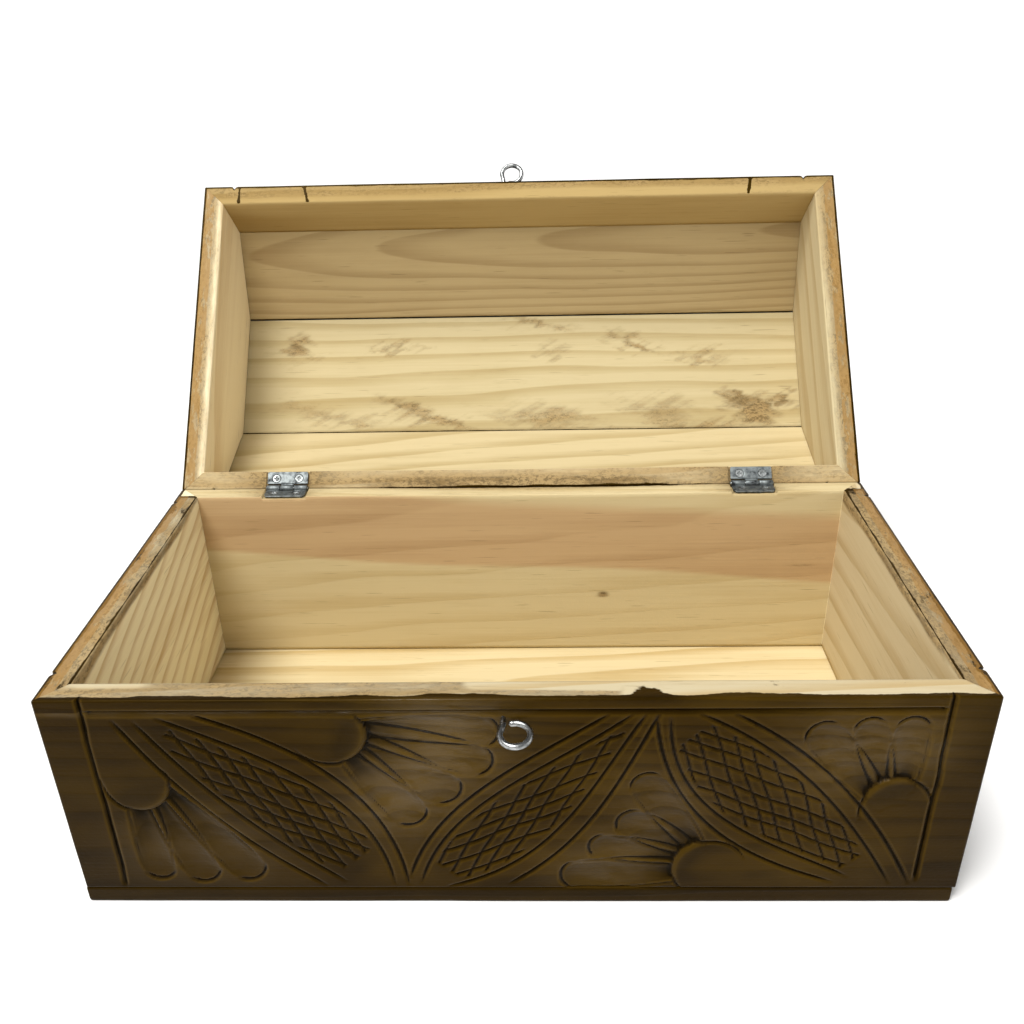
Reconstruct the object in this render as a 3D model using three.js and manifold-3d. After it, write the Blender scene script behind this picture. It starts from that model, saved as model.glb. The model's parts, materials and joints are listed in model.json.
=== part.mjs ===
// Carved jewelry box: a mitred board case with a hollow three-slat lid on two small butt
// hinges, and a screw eye on the case and on the lid for a padlock.
// Millimetres, +Z up. The origin is under the middle of the bottom board, and the front faces -Y.
// The lid is built closed and then turned back about the hinge pins until it rests on its stop.
import * as THREE from "three";
import { mergeVertices } from "three/addons/utils/BufferGeometryUtils.js";
import Module from "manifold-3d";

const wasm = await Module();
wasm.setup();

// Box
const boxWidth = 300;
const boxDepth = 152;
const caseHeight = 88; // floor to the case's rim
const wall = 9.5; // boards of the case and of the lid's frame
const bottomThickness = 6.8;
const glueLine = 0.3; // gap in every glued joint
const rimGap = 0.3; // between the case's rim and the closed lid's rim

// Lid
const railInside = 28; // height of the lid's rails on their inner face
const archInside = 54; // height of the lid's hollow under the top slat
const topSlatInside = 62; // width of the top slat on its inner face
const slatThickness = 9.5;
const openAngle = THREE.MathUtils.degToRad(130.7);
const stopGap = 0.3; // between the two bevels when the lid rests on its stop

// Hinges
const pinInset = 1.6; // pin axis in from the back face
const hingeSpacing = 205; // between the middles of the two hinges
const hingeWidth = 18;
const leafReach = 7.6; // pin axis to the leaf's free edge
const leafThickness = 0.8;
const knuckleRadius = 1.4;
const knuckleGap = 0.3; // between neighbouring knuckles
const pinRadius = 0.75;
const pinClearance = 0.25; // between a pin and its knuckles
const pinHead = 0.4; // length of the pin past the knuckles at each end
const hardwareGap = 0.3; // between hardware and the wood around it
const screwSpacing = 10;
const screwHead = 1.7; // radii
const screwShank = 0.85;
const screwLength = 8;
const knuckleSides = 24;
const screwSides = 12;

// Screw eyes
const eyeWire = 1.05; // radius of the wire
const eyeLoop = 4.7; // radius of the loop's centre line
const eyeClear = 0.65; // between the loop and the front face
const eyeTipGap = 0.3; // between the wire's tip and the shank
const eyeShankInset = 0.8; // shank in from the side of the loop's centre line
const eyeEntry = THREE.MathUtils.degToRad(200); // where the shank runs into the loop
const eyeShankDepth = 7.5;
const caseEyeMiddle = 1.4; // x of the loop's middle
const caseEyeBelowRim = 7.6;
const caseEyeDroop = THREE.MathUtils.degToRad(9);
const lidEyeMiddle = -2.3;
const lidEyeAboveRim = 5;

// Worked out from the sizes above
const pinY = boxDepth / 2 - pinInset;
const pinZ = caseHeight + rimGap / 2;
const lidRim = caseHeight + rimGap;
const knuckleBore = pinRadius + pinClearance;
const eyeReach = eyeClear + eyeWire + eyeLoop; // front face to the middle of the loop
const eyeShankOffset = eyeLoop - eyeShankInset; // middle of the loop to the shank
const far = 2 * boxWidth; // past every side of the box, for cutters

const colours = {
  stained: { color: 0x4a3a1e, roughness: 0.45, metalness: 0 },
  pine: { color: 0xe0c088, roughness: 0.65, metalness: 0 },
  zinc: { color: 0x9aa0a2, roughness: 0.3, metalness: 1 },
};

const box = new THREE.Group();
const lid = new THREE.Group();
lid.position.set(0, pinY, pinZ);
lid.rotation.x = -openAngle;
const lidClosed = new THREE.Group(); // holds the lid's pieces where they lie when it is closed
lidClosed.position.set(0, -pinY, -pinZ);
lid.add(lidClosed);
box.add(lid);

// ---- Solids ----------------------------------------------------------------------------------

function solidOf(geometry) {
  const bare = geometry.index ? geometry.toNonIndexed() : geometry.clone();
  const positions = new THREE.BufferGeometry();
  positions.setAttribute("position", bare.getAttribute("position"));
  const merged = mergeVertices(positions, 1e-4);
  const triVerts = new Uint32Array(merged.index.array);
  const vertProperties = merged.attributes.position.array;
  return new wasm.Manifold(new wasm.Mesh({ numProp: 3, vertProperties, triVerts }));
}

function geometryOf(solid) {
  const mesh = solid.getMesh();
  const geometry = new THREE.BufferGeometry();
  const positions = new THREE.BufferAttribute(new Float32Array(mesh.vertProperties), 3);
  geometry.setAttribute("position", positions);
  geometry.setIndex(new THREE.BufferAttribute(new Uint32Array(mesh.triVerts), 1));
  const flat = geometry.toNonIndexed();
  flat.computeVertexNormals();
  return flat;
}

function piece(group, name, finish, solid) {
  const mesh = new THREE.Mesh(geometryOf(solid), new THREE.MeshStandardMaterial(colours[finish]));
  mesh.name = name;
  group.add(mesh);
}

function shapeOf(points) {
  return new THREE.Shape(points.map(([a, b]) => new THREE.Vector2(a, b)));
}

// An outline in x and y, raised from z0 to z1.
function raised(points, z0, z1) {
  const geometry = new THREE.ExtrudeGeometry(shapeOf(points), { depth: z1 - z0, bevelEnabled: false });
  return solidOf(geometry.translate(0, 0, z0));
}

// An outline in y and z, carried from x0 to x1.
function carried(points, x0, x1) {
  const geometry = new THREE.ExtrudeGeometry(shapeOf(points), { depth: x1 - x0, bevelEnabled: false });
  const turn = new THREE.Matrix4().set(0, 0, 1, x0, 1, 0, 0, 0, 0, 1, 0, 0, 0, 0, 0, 1);
  return solidOf(geometry.applyMatrix4(turn));
}

function block([x0, y0, z0], [x1, y1, z1]) {
  const geometry = new THREE.BoxGeometry(x1 - x0, y1 - y0, z1 - z0);
  return solidOf(geometry.translate((x0 + x1) / 2, (y0 + y1) / 2, (z0 + z1) / 2));
}

// A rod along X about the hinge axis.
function rod(radius, x0, x1, sides) {
  const geometry = new THREE.CylinderGeometry(radius, radius, x1 - x0, sides);
  return solidOf(geometry.rotateZ(Math.PI / 2).translate((x0 + x1) / 2, pinY, pinZ));
}

// A turned shape about Z from [radius, height] points, with its height 0 at the place given.
function turned(profile, x, y, z, sides) {
  const points = profile.map(([r, h]) => new THREE.Vector2(r, h));
  const geometry = new THREE.LatheGeometry(points, sides).rotateX(Math.PI / 2);
  return solidOf(geometry.translate(x, y, z));
}

const cutAll = (solid, cutters) => cutters.reduce((rest, cutter) => rest.subtract(cutter), solid);

// A solid mirrored in the plane half way between the case's rim and the lid's rim.
function overJoint(solid) {
  return solid.mirror([0, 0, 1]).translate([0, 0, 2 * pinZ]);
}

// ---- Boards ----------------------------------------------------------------------------------

const outerX = boxWidth / 2;
const outerY = boxDepth / 2;
const innerX = outerX - wall;
const innerY = outerY - wall;
const mitre = glueLine / Math.SQRT2; // each board's share of a mitre's gap, along X or Y

// Plan of a mitred front board: long outside, short inside.
const frontPlan = [
  [-outerX + mitre, -outerY],
  [outerX - mitre, -outerY],
  [innerX - mitre, -innerY],
  [-innerX + mitre, -innerY],
];
const sidePlan = [
  [-outerX, outerY - mitre],
  [-outerX, -outerY + mitre],
  [-innerX, -innerY + mitre],
  [-innerX, innerY - mitre],
];
const turnedAbout = (plan) => plan.map(([x, y]) => [-x, -y]);

// Everything on the lid's side of the plane that the two back bevels meet in, less half its gap.
function stopBevel() {
  const lean = openAngle / 2;
  const along = [Math.cos(lean), -Math.sin(lean)];
  const out = [Math.sin(lean), Math.cos(lean)];
  const corner = (a, o) => [
    pinY + a * along[0] + (o - stopGap / 2) * out[0],
    pinZ + a * along[1] + (o - stopGap / 2) * out[1],
  ];
  const reach = 4 * wall;
  const outline = [corner(-reach, 0), corner(reach, 0), corner(reach, reach), corner(-reach, reach)];
  return carried(outline, -far, far);
}
const caseBevel = stopBevel();
const lidBevel = overJoint(caseBevel);

// ---- Hinges ----------------------------------------------------------------------------------

const hingeNames = ["left", "right"];
const hingeMiddle = [-hingeSpacing / 2, hingeSpacing / 2];
const screwNames = ["a", "b"];
const leafTop = caseHeight;
const leafBottom = leafTop - leafThickness;
const screwY = pinY - (leafReach + knuckleRadius) / 2;
const screwX = (middle, i) => middle + (i - 0.5) * screwSpacing;

// The knuckles' stretches of X: the case leaf has the outer two, the lid leaf the middle one.
function knuckleRuns(middle, which) {
  const third = hingeWidth / 3;
  const inner = third / 2;
  if (which === "lid") return [[middle - inner + knuckleGap / 2, middle + inner - knuckleGap / 2]];
  const side = inner + knuckleGap / 2;
  return [
    [middle - hingeWidth / 2, middle - side],
    [middle + side, middle + hingeWidth / 2],
  ];
}

function screwHole(x) {
  const gap = hardwareGap;
  const profile = [
    [0, -screwLength - gap],
    [screwShank + gap, -screwLength - gap],
    [screwShank + gap, -leafThickness],
    [screwHead + gap, 0],
    [screwHead + gap, leafThickness],
    [0, leafThickness],
  ];
  return turned(profile, x, screwY, leafTop, screwSides);
}

// A leaf lying on the case's rim. The lid's leaf is the same one mirrored over the joint.
function hingeLeaf(middle, which) {
  const half = hingeWidth / 2;
  const plateBack = pinY - knuckleRadius - knuckleGap;
  let leaf = block([middle - half, pinY - leafReach, leafBottom], [middle + half, plateBack, leafTop]);
  for (const [x0, x1] of knuckleRuns(middle, which)) {
    leaf = leaf.add(block([x0, plateBack - knuckleGap, leafBottom], [x1, pinY, leafTop]));
    leaf = leaf.add(rod(knuckleRadius, x0, x1, knuckleSides));
  }
  leaf = leaf.subtract(rod(knuckleBore, middle - hingeWidth, middle + hingeWidth, knuckleSides));
  screwNames.forEach((_, i) => {
    leaf = leaf.subtract(screwHole(screwX(middle, i)));
  });
  return leaf;
}

function hingeScrew(middle, i) {
  const profile = [
    [0, -screwLength],
    [screwShank / 3, -screwLength],
    [screwShank, -screwLength + 3 * screwShank],
    [screwShank, -leafThickness],
    [screwHead, 0],
    [0, 0],
  ];
  return turned(profile, screwX(middle, i), screwY, leafTop, screwSides);
}

// The recess for a leaf, open to the inside of the box, with the room for the knuckles.
function hingeRecess(middle) {
  const half = hingeWidth / 2 + pinHead + hardwareGap;
  const inside = -2 * wall;
  const seat = block(
    [middle - half, pinY + inside, leafBottom - hardwareGap],
    [middle + half, pinY, leafTop + wall],
  );
  return seat.add(rod(knuckleRadius + hardwareGap, middle - half, middle + half, knuckleSides));
}

const recesses = hingeMiddle.map((middle) => hingeRecess(middle));
const screwHoles = hingeMiddle.flatMap((middle) =>
  screwNames.map((_, i) => screwHole(screwX(middle, i))),
);
const backCuts = [caseBevel, ...recesses, ...screwHoles];

// ---- Screw eyes ------------------------------------------------------------------------------

// The wire's centre line, lying flat: the shank runs out of the wood at x = 0 towards -Y, and
// bends into a loop that goes round to the right and ends just short of the shank.
function eyeLine() {
  const points = [-eyeShankDepth, -eyeShankDepth / 2, 0, eyeReach / 3].map((out) => [0, out]);
  const steps = 18;
  const tipCos = (eyeWire + eyeTipGap - eyeShankOffset) / (eyeLoop + eyeWire);
  const eyeExit = -Math.acos(tipCos);
  for (let i = 0; i <= steps; i++) {
    const angle = eyeEntry + ((eyeExit - eyeEntry) * i) / steps;
    points.push([eyeShankOffset + eyeLoop * Math.cos(angle), eyeReach + eyeLoop * Math.sin(angle)]);
  }
  return new THREE.CatmullRomCurve3(points.map(([x, out]) => new THREE.Vector3(x, -out, 0)));
}

function eyeSolid() {
  const section = new THREE.Shape().absarc(0, 0, eyeWire, 0, 2 * Math.PI);
  const options = { extrudePath: eyeLine(), steps: 34, curveSegments: 10, bevelEnabled: false };
  return solidOf(new THREE.ExtrudeGeometry(section, options));
}

function eyeHole() {
  const radius = eyeWire + hardwareGap;
  const length = eyeShankDepth + hardwareGap;
  return solidOf(new THREE.CylinderGeometry(radius, radius, 2 * length, screwSides));
}

// Tips an eye or its hole down at the front, and sets it on the front face.
function onFront(solid, middle, height, droop) {
  const tipped = solid.rotate([THREE.MathUtils.radToDeg(droop), 0, 0]);
  return tipped.translate([middle - eyeShankOffset, -outerY, height]);
}
const caseEyePlace = [caseEyeMiddle, caseHeight - caseEyeBelowRim, caseEyeDroop];
const lidEyePlace = [lidEyeMiddle, lidRim + lidEyeAboveRim, 0];

// ---- Case ------------------------------------------------------------------------------------

const wallFoot = bottomThickness + glueLine;
const caseBoard = (plan) => raised(plan, wallFoot, caseHeight);

piece(box, "bottom_board", "pine", block([-outerX, -outerY, 0], [outerX, outerY, bottomThickness]));
piece(box, "front_board", "stained", caseBoard(frontPlan).subtract(onFront(eyeHole(), ...caseEyePlace)));
piece(box, "back_board", "stained", cutAll(caseBoard(turnedAbout(frontPlan)), backCuts));
piece(box, "left_board", "stained", cutAll(caseBoard(sidePlan), [caseBevel]));
piece(box, "right_board", "stained", cutAll(caseBoard(turnedAbout(sidePlan)), [caseBevel]));
piece(box, "case_eye", "zinc", onFront(eyeSolid(), ...caseEyePlace));

// ---- Lid -------------------------------------------------------------------------------------

// Half of the lid's section, from the middle out: inner and outer lines of the arch.
const archSlope = Math.atan2(archInside - railInside, innerY - topSlatInside / 2);
const joint = topSlatInside / 2;
const jointOut = joint + slatThickness * Math.tan(archSlope / 2);
const railOutside = railInside - wall * Math.tan(archSlope);
const eaves = archInside + slatThickness - (outerY - jointOut) * Math.tan(archSlope);
const slopeGap = glueLine / Math.cos(archSlope); // a glue line on the slope, measured upright
const jointGap = glueLine / 2 / Math.cos(archSlope / 2);
const fromRim = (points) => points.map(([y, h]) => [y, lidRim + h]);
const mirrored = (points) => points.map(([y, z]) => [-y, z]).reverse();

const railOutline = fromRim([
  [-outerY, 0],
  [-innerY, 0],
  [-innerY, railInside - slopeGap],
  [-outerY, railOutside - slopeGap],
]);
const endOutline = fromRim([
  [-outerY, 0],
  [outerY, 0],
  [outerY, railOutside - slopeGap],
  [joint, archInside - slopeGap],
  [-joint, archInside - slopeGap],
  [-outerY, railOutside - slopeGap],
]);
const topSlatOutline = fromRim([
  [-joint + jointGap, archInside],
  [joint - jointGap, archInside],
  [jointOut - jointGap, archInside + slatThickness],
  [-jointOut + jointGap, archInside + slatThickness],
]);
const frontSlatOutline = fromRim([
  [-outerY, railOutside],
  [-joint - jointGap, archInside - jointGap * Math.tan(archSlope)],
  [-jointOut - jointGap, archInside + slatThickness - jointGap * Math.tan(archSlope)],
  [-outerY, eaves],
]);

// A column over the whole height of the lid that trims a piece to a mitred plan.
const lidColumn = (plan) => raised(plan, 0, far);
const rail = (outline, plan) => carried(outline, -far, far).intersect(lidColumn(plan));
const backRail = rail(mirrored(railOutline), turnedAbout(frontPlan));
function lidEnd(plan) {
  const [x0, x1] = [Math.min(...plan.map(([x]) => x)), Math.max(...plan.map(([x]) => x))];
  return carried(endOutline, x0, x1).intersect(lidColumn(plan)).subtract(lidBevel);
}

const lidBackCuts = backCuts.map((cut) => overJoint(cut));
const lidEyeHole = onFront(eyeHole(), ...lidEyePlace);
piece(lidClosed, "lid_front_rail", "stained", rail(railOutline, frontPlan).subtract(lidEyeHole));
piece(lidClosed, "lid_back_rail", "stained", cutAll(backRail, lidBackCuts));
piece(lidClosed, "lid_left_end", "stained", lidEnd(sidePlan));
piece(lidClosed, "lid_right_end", "stained", lidEnd(turnedAbout(sidePlan)));
piece(lidClosed, "lid_front_slat", "pine", carried(frontSlatOutline, -outerX, outerX));
piece(lidClosed, "lid_top_slat", "pine", carried(topSlatOutline, -outerX, outerX));
piece(lidClosed, "lid_back_slat", "pine", carried(mirrored(frontSlatOutline), -outerX, outerX));
piece(lidClosed, "lid_eye", "zinc", onFront(eyeSolid(), ...lidEyePlace));

// ---- Hinges on both --------------------------------------------------------------------------

hingeMiddle.forEach((middle, h) => {
  const name = hingeNames[h];
  const pinHalf = hingeWidth / 2 + pinHead;
  piece(box, `${name}_hinge_case_leaf`, "zinc", hingeLeaf(middle, "case"));
  piece(box, `${name}_hinge_pin`, "zinc", rod(pinRadius, middle - pinHalf, middle + pinHalf, screwSides));
  piece(lidClosed, `${name}_hinge_lid_leaf`, "zinc", overJoint(hingeLeaf(middle, "lid")));
  screwNames.forEach((letter, i) => {
    piece(box, `${name}_hinge_case_screw_${letter}`, "zinc", hingeScrew(middle, i));
    piece(lidClosed, `${name}_hinge_lid_screw_${letter}`, "zinc", overJoint(hingeScrew(middle, i)));
  });
});

export default box;
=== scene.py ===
import json
import math
import bpy
import numpy as np
from mathutils import Matrix, Vector


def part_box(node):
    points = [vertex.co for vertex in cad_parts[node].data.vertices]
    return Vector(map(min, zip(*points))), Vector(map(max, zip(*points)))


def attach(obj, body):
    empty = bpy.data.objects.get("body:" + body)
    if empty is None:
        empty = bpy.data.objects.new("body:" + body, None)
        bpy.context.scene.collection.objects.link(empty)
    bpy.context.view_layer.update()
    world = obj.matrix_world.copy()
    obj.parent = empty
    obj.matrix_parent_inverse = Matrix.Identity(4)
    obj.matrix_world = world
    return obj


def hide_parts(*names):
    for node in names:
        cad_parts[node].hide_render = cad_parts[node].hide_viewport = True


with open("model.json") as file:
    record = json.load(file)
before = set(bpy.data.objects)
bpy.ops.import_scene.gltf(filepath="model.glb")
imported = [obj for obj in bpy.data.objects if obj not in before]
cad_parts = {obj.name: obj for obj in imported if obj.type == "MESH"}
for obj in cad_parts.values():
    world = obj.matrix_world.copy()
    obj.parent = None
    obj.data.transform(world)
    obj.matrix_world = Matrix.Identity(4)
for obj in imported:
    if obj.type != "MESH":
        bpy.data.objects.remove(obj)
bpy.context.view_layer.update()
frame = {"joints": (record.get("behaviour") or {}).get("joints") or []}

MM = 0.001  # every size below is in millimetres, and the meshes are in metres


# ---- Bottom board --------------------------------------------------------------------------------
# One flat pine board glued under the four walls. Its top face is left bare and is the floor inside;
# its sawn edges took the walnut stain with the outside, and its right end was cut a little short.

half_width, half_depth, bottom_thick = np.array(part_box("bottom_board")[1]) / MM


def wander(x, seed, length, height):
    """A slow hand-made waviness: five sines of falling wavelength and height, with seeded phases."""
    phases = np.random.default_rng(seed).uniform(0, 2 * math.pi, 5)
    waves = [np.sin(2 * math.pi * x * (k + 1) / length + p) / (k + 1) for k, p in enumerate(phases)]
    return height * sum(waves) / 1.5


def rounded(distance, radius):
    """How far a rounded edge falls away: a quarter circle of that radius, by distance from the edge."""
    inside = np.clip(radius - distance, 0, radius)
    return radius - np.sqrt(radius**2 - inside**2)


def stations(start, end, spacing, extra=()):
    """Places along a board: even steps, closer at both ends, and a pair at each sharp step."""
    even = np.linspace(start, end, int((end - start) / spacing) + 1)
    ends = np.array([0.15, 0.35, 0.7])
    steps = np.array([e + s for e in extra for s in (-0.06, 0.06)])
    every = np.sort(np.concatenate([even, start + ends, end - ends, steps]))
    keep = np.concatenate([[True], np.diff(every) > 0.05])
    keep[-1] = True
    return every[keep]


def board(name, along, lower, upper, thick, carve, mitre, place, cover, rows, close=()):
    """One board as a closed skin. Its own frame is along the grain, across, and depth in from the face.
    Each station along is a ring of points: up the face, in over the upper edge, down the back and out
    over the lower edge. The face lies at depth carve(along, across) plus its rounded edges, the edges
    lie at upper and lower(along, depth), and a mitred end is pulled in by the depth at each point. The
    rows of points are evenly spread, with more at the edges and beside each height in close."""
    edge, rim = 0.7, 0.4  # rounding round the face, and round the back
    margin = 0.02  # share of the face's height, at each edge, that has closer rows
    face_rows, upper_rows, back_rows, lower_rows = rows
    a = along[:, None]
    at_edge = np.full_like(a, edge)
    low, high = lower(a, at_edge), upper(a, at_edge)
    fine = (1 - np.cos(np.linspace(0, math.pi, 9)))[:-1] / 2 * margin
    near = [(h + step - low.min()) / (high - low).max() for h in close for step in (-0.3, -0.1, 0.1, 0.3)]
    even = np.linspace(margin, 1 - margin, face_rows)
    b = low + (high - low) * np.sort(np.concatenate([fine, even, near, 1 - fine[::-1]]))[None, :]
    cut = carve(a + 0 * b, b)
    c = cut + rounded(b - low, edge) + rounded(high - b, edge)
    c = c + rounded(a - along[0], edge) + rounded(along[-1] - a, edge)

    def over(edge_height, first, sign, count):
        depth = first + (thick - first) * (np.arange(count) + 1)[None, :] / (count + 1)
        return edge_height(a, depth) - sign * rounded(thick - depth, rim), depth

    up_b, up_c = over(upper, c[:, -1:], 1, upper_rows)
    down_b, down_c = over(lower, c[:, :1], -1, lower_rows)
    back = np.linspace(0, 1, back_rows)[None, :]
    top, foot = upper(a, np.full_like(a, thick)) - rim, lower(a, np.full_like(a, thick)) + rim
    back_b = top + (foot - top) * back
    ring_b = np.concatenate([b, up_b, back_b, down_b[:, ::-1]], 1)
    ring_c = np.concatenate([c, up_c, np.full_like(back_b, thick), down_c[:, ::-1]], 1)
    ring_a = np.clip(a + 0 * ring_b, along[0] + mitre * ring_c, along[-1] - mitre * ring_c)
    parts = np.concatenate([np.full(g.shape[1], k) for k, g in enumerate((b, up_b, back_b, down_b))])
    return skin(name, ring_a, ring_b, ring_c, parts, cut, place, cover)


def mean_near(values, reach, axis):
    """Each value's mean with its neighbours up to reach away along an axis, from running totals."""
    pad = [(0, 0), (0, 0)]
    pad[axis] = (reach + 1, reach)
    total = np.cumsum(np.pad(values, pad, mode="edge"), axis=axis)
    count = values.shape[axis]
    low, high = np.arange(count), np.arange(count) + 2 * reach + 1
    return (np.take(total, high, axis) - np.take(total, low, axis)) / (2 * reach + 1)


def skin(name, a, b, c, parts, cut, place, cover):
    """Joins the rings of points into one closed mesh, sets it in place and stores each point's own
    place on the board, its crease, and the masks that cover works out for it by name. The crease is how
    much deeper a point is cut than the mean of its near neighbours, in millimetres, with a share of the
    same for a wider ring of them and of what goes deeper than a line cut. It sets painted shade in the
    cuts and a painted highlight on what stands up."""
    line_cut, near, wide = 1.2, 2, 9  # depth, and two reaches in points
    count, ring = a.shape
    flat = np.stack([a.ravel(), b.ravel(), c.ravel()], 1)
    i, j = np.meshgrid(np.arange(count - 1), np.arange(ring), indexing="ij")
    k = (j + 1) % ring
    quads = np.stack([i * ring + j, (i + 1) * ring + j, (i + 1) * ring + k, i * ring + k], -1)
    caps = [list(range(ring)), list(range(count * ring - 1, (count - 1) * ring - 1, -1))]
    piece = new_piece(name, flat, quads.reshape(-1, 4).tolist() + caps, place)
    sharp, broad = (cut - mean_near(mean_near(cut, reach, 0), reach, 1) for reach in (near, wide))
    crease_shading = np.zeros((count, ring))
    crease_shading[:, : cut.shape[1]] = sharp + 0.22 * broad + 0.05 * np.clip(cut - line_cut, 0, None)
    places = piece.data.attributes.new("board_place", "FLOAT_VECTOR", "POINT")
    places.data.foreach_set("vector", (flat * MM).ravel())
    for title, value in {"crease_shading": crease_shading, **cover(a, b, c, parts[None, :] + 0 * a)}.items():
        values = np.broadcast_to(value, a.shape).ravel().astype(np.float32)
        piece.data.attributes.new(title, "FLOAT", "POINT").data.foreach_set("value", values)
    return piece


def new_piece(name, points, faces, place):
    """An object at the origin, with its place in its mesh: the points are given in the piece's own
    frame and set in place. Faces are smooth, apart from the caps, which have more than four corners."""
    world = (np.array(place.to_3x3()) @ points.T).T + np.array(place.translation)
    mesh = bpy.data.meshes.new(name)
    mesh.from_pydata((world * MM).tolist(), [], faces)
    mesh.polygons.foreach_set("use_smooth", np.array([len(face) < 5 for face in faces]))
    piece = bpy.data.objects.new(name, mesh)
    bpy.context.scene.collection.objects.link(piece)
    return piece


def finish(piece, material, body, node):
    """A piece's material, the CAD node that it stands for and the body that it rides on."""
    piece.data.materials.append(material)
    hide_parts(node)
    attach(piece, body)


def frame_of(along, across, origin):
    """Turns a board's own frame into the box's: its depth runs against along x across."""
    x, y = Vector(along), Vector(across)
    z = -x.cross(y)
    turn = Matrix((x, y, z)).transposed().to_4x4()
    turn.translation = Vector(origin)
    return turn


def new_material(name):
    """An empty material, and a function that adds one node to it. A node's inputs are given by name or
    number, as plain values or as other nodes' outputs, and its settings by name."""
    made = bpy.data.materials.new(name)
    made.use_nodes = True
    tree = made.node_tree
    tree.nodes.clear()

    def node(kind, inputs=(), **settings):
        new = tree.nodes.new(kind)
        for key, value in settings.items():
            setattr(new, key, value)
        for key, value in dict(inputs).items():
            if isinstance(value, bpy.types.NodeSocket):
                tree.links.new(value, new.inputs[key])
            else:
                new.inputs[key].default_value = value
        return new

    return made, node


def wood(name, pale, dark, pith, lean, pitch, seed, bands=0.6):
    """Pine, bare or walnut-stained. Growth rings, a pitch apart, are circles about the pith: a line that
    crosses the board's middle at pith, across and in depth, and leans along it, in metres. Their late
    wood is darker by bands, and fine fibres run along the grain. The board's own masks say where it is
    stained, where the stain was laid on a second time and where painted shade darkens it, where it dried
    glossy and a painted highlight lightens it, where old varnish and rubbed-in stain lie on it, and where
    it is redder heartwood. Painted shade, with stain gathered there, darkens the cuts, and a painted
    highlight, with stain worn lighter there, lightens what stands up."""
    stain, cut_stain_and_shade = (0.0275, 0.0138, 0.0008, 1), (0.002, 0.001, 0.0002, 1)
    thin_stain_and_highlight, dark_coat_and_shade = (0.062, 0.034, 0.003, 1), (0.0062, 0.003, 0.0003, 1)
    painted_highlight, golden = (0.105, 0.062, 0.012, 1), (0.3, 0.155, 0.034, 1)
    heart_pale, heart_dark = (0.5, 0.31, 0.155, 1), (0.32, 0.175, 0.085, 1)
    rub_pale, rub_dark, rub_speck = (0.34, 0.235, 0.104, 1), (0.17, 0.105, 0.038, 1), (0.07, 0.043, 0.018, 1)
    made, node = new_material(name)

    def sums(operation, *values):
        return node("ShaderNodeMath", dict(enumerate(values)), operation=operation).outputs[0]

    def times(first, second):
        return sums("MULTIPLY", first, second)

    def less(first, second):
        return sums("SUBTRACT", first, second)

    def plus(total, *others):
        for other in others:
            total = sums("ADD", total, other)
        return total

    def spread(value, low, high, to_low=0.0, to_high=1.0):
        inputs = {0: value, 1: low, 2: high, 3: to_low, 4: to_high}
        return node("ShaderNodeMapRange", inputs, interpolation_type="SMOOTHSTEP").outputs[0]

    def blend(share, first, second):
        return node("ShaderNodeMix", {0: share, 6: first, 7: second}, data_type="RGBA").outputs[2]

    def mask(title, output="Fac"):
        return node("ShaderNodeAttribute", attribute_name=title).outputs[output]

    def noise(scale, detail, rough=0.55, shift=0.0):
        stretch = node("ShaderNodeMapping", {0: place, 1: (shift + seed * 0.37, seed * 0.11, 0), 3: scale})
        inputs = {"Vector": stretch.outputs[0], "Scale": 1.0, "Detail": detail, "Roughness": rough}
        return node("ShaderNodeTexNoise", inputs).outputs["Fac"]

    place, crease_shading, gloss = mask("board_place", "Vector"), mask("crease_shading"), mask("gloss")
    split = node("ShaderNodeSeparateXYZ", {0: place}).outputs
    across = plus(split[1], -pith[0], times(split[0], lean[0]))
    depth = plus(split[2], -pith[1], times(split[0], lean[1]))
    radius = sums("SQRT", plus(times(across, across), times(depth, depth)))
    bent = plus(radius, times(noise((4.5, 22, 22), 2.0), 1.9 * pitch))
    ring = sums("FRACT", sums("DIVIDE", bent, pitch))
    late = times(spread(ring, 0.4, 0.9), spread(ring, 0.92, 0.99, 1, 0))
    fibre = noise((18, 1100, 1100), 3.0, 0.65)
    streak = noise((5, 160, 160), 3.0)
    cloud = noise((14, 26, 26), 3.0, shift=3.1)
    fleck = spread(noise((60, 1400, 1400), 1.0, shift=1.7), 0.69, 0.78)
    patch = noise((55, 130, 130), 5.0, 0.7, shift=5.3)
    smear = noise((34, 150, 150), 6.0, 0.75, shift=6.1)
    speck = noise((480, 900, 900), 3.0, 0.8, shift=4.4)
    drop = noise((90, 260, 260), 4.0, 0.75, shift=8.8)
    grit = noise((700, 900, 900), 2.0, shift=2.2)

    tone = plus(times(late, bands), times(less(streak, 0.5), 0.9), times(less(fibre, 0.5), 0.55))
    tone = node("ShaderNodeClamp", {0: plus(tone, times(less(cloud, 0.45), 0.6))}).outputs[0]
    bare = blend(tone, (*pale, 1), (*dark, 1))
    bare = blend(times(mask("heartwood"), 0.7), bare, blend(tone, heart_pale, heart_dark))
    bare = blend(times(fleck, 0.4), bare, (*[v * 0.45 for v in dark], 1))
    rub = blend(spread(smear, 0.42, 0.6), rub_pale, rub_dark)
    rub = blend(spread(speck, 0.46, 0.6, 0, 0.75), rub, rub_speck)
    bare = blend(times(spread(less(mask("smudge"), times(smear, 1.3)), -0.5, 0.42), 0.9), bare, rub)

    stained = blend(plus(times(tone, 0.9), times(cloud, 0.15)), stain, dark_coat_and_shade)
    stained = blend(spread(cloud, 0.42, 0.66, 0, 0.45), stained, thin_stain_and_highlight)
    stained = blend(times(mask("second_coat"), 0.7), stained, dark_coat_and_shade)
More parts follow.
